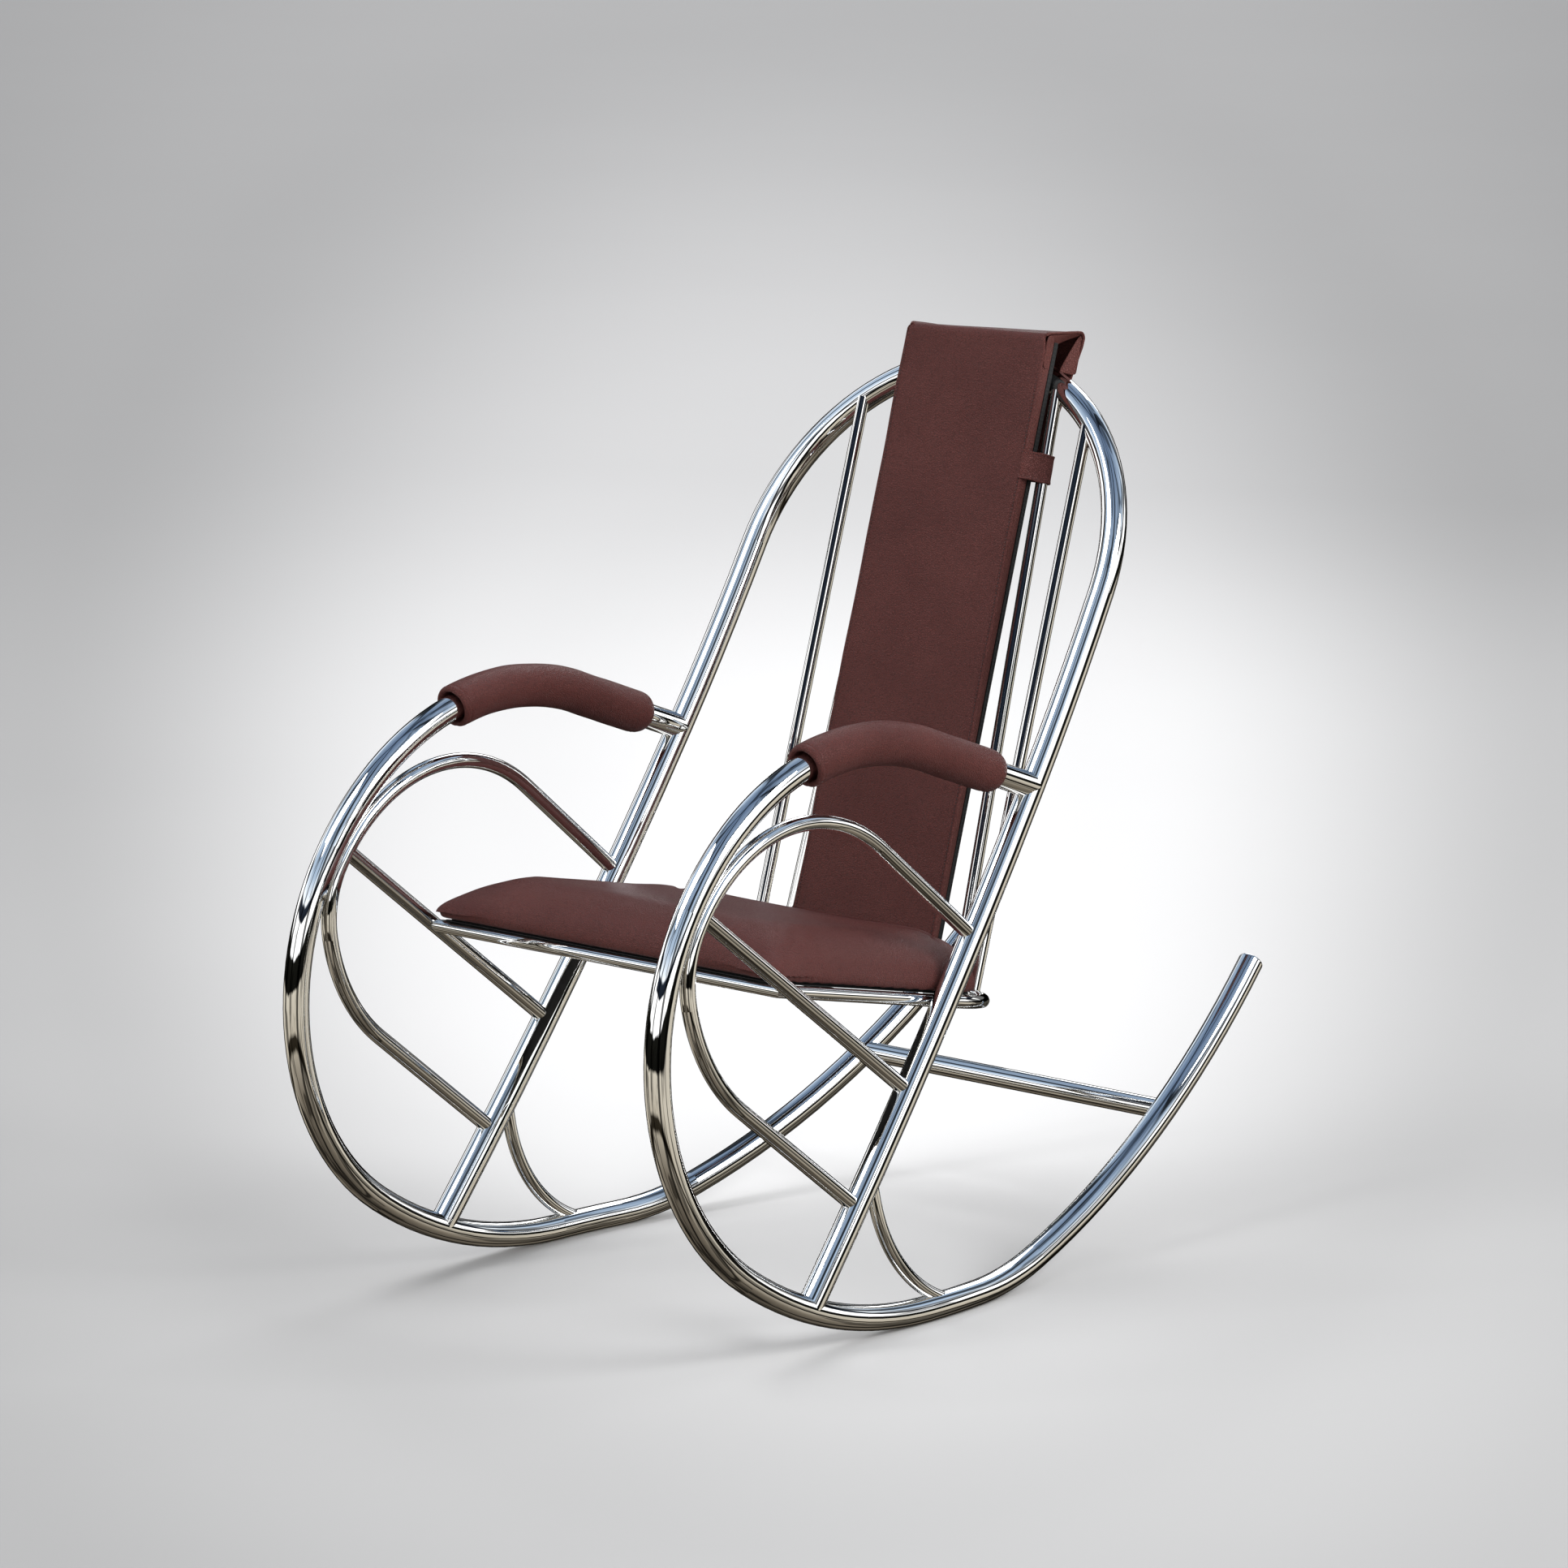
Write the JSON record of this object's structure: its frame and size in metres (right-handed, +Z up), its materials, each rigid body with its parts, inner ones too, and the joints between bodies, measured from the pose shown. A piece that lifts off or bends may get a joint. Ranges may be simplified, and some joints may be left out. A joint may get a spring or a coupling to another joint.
{
  "type": "rocking chair",
  "caption": "Rocking chair of bent polished steel tube with a leatherette seat cushion, narrow slatted back pad and padded arms; it rocks on its two curved side tubes.",
  "frame": {"origin": "middle of the outline on the floor, below the seat", "axes": "+Z up, the sitter faces -Y, +X is the sitter's left"},
  "size_m": [0.637, 1.1977, 1.1221],
  "materials": {
    "polished_steel": "polished",
    "screw_steel": "satin",
    "leatherette": "satin",
    "foam": "matte",
    "plywood": "matte",
    "black_lining": "matte"
  },
  "bodies": {
    "root": {"arm_cover_left": "leatherette", "arm_cover_right": "leatherette", "arm_foam_left": "foam", "arm_foam_right": "foam", "back_board": "plywood", "back_cover": "leatherette", "back_foam": "foam", "back_hood": "leatherette", "back_hoop": "polished_steel", "back_lining": "black_lining", "hoop_wrap": "leatherette", "rear_brace_left": "polished_steel", "rear_brace_right": "polished_steel", "rear_crossbar": "polished_steel", "rocker_end_cap_left": "polished_steel", "rocker_end_cap_right": "polished_steel", "rocker_tube_left": "polished_steel", "rocker_tube_right": "polished_steel", "seat_board": "plywood", "seat_cover": "leatherette", "seat_foam": "foam", "seat_frame_front": "polished_steel", "seat_frame_ring": "polished_steel", "seat_lining": "black_lining", "seat_screws": "screw_steel", "seat_strut_left": "polished_steel", "seat_strut_right": "polished_steel", "seat_tabs": "polished_steel", "side_loop_left": "polished_steel", "side_loop_right": "polished_steel", "slat_inner_left": "polished_steel", "slat_inner_right": "polished_steel", "slat_outer_left": "polished_steel", "slat_outer_right": "polished_steel", "strap_left": "leatherette", "strap_right": "leatherette"}
  },
  "joints": []
}
